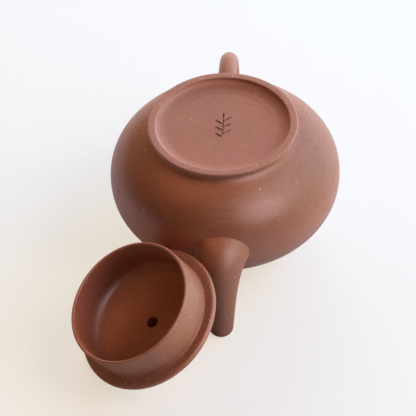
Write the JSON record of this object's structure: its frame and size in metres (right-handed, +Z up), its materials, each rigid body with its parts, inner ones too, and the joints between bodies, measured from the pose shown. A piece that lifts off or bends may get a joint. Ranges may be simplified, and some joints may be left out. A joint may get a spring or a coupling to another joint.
{
  "type": "clay teapot",
  "caption": "Small round slab-built clay teapot, upside down on its mouth ring with spout and ear handle, its domed lid leaning open beside it.",
  "frame": {"origin": "middle of the footprint of the pot and the lid together, on the table", "axes": "+Z up, with the pot upside down; the spout points to -Y and the handle to +Y, and the lid lies towards -X and -Y"},
  "size_m": [0.1022, 0.1646, 0.053],
  "materials": {
    "burnished_clay": "unglazed stoneware, burnished to a satin",
    "bare_clay": "unglazed stoneware, wiped but not burnished",
    "base_clay": "unglazed stoneware, fine-grained and matt, paler than the body",
    "lid_clay": "unglazed stoneware, satin, with a rougher seat"
  },
  "bodies": {
    "pot": {"body_wall": "burnished_clay", "shoulder_disc": "burnished_clay", "mouth_ring": "bare_clay", "base_disc": "base_clay", "foot_ring": "base_clay", "spout": "burnished_clay", "spout_strainer": "bare_clay", "handle": "burnished_clay"},
    "lid": {"lid_disc": "lid_clay", "lid_rim_ring": "lid_clay", "lid_flange": "lid_clay", "lid_knob": "burnished_clay"}
  },
  "joints": [
    {"name": "lid_lift", "type": "slide", "parent": "pot", "child": "lid", "axis": [0, 0, 1], "range_m": [0, 0.09]}
  ]
}
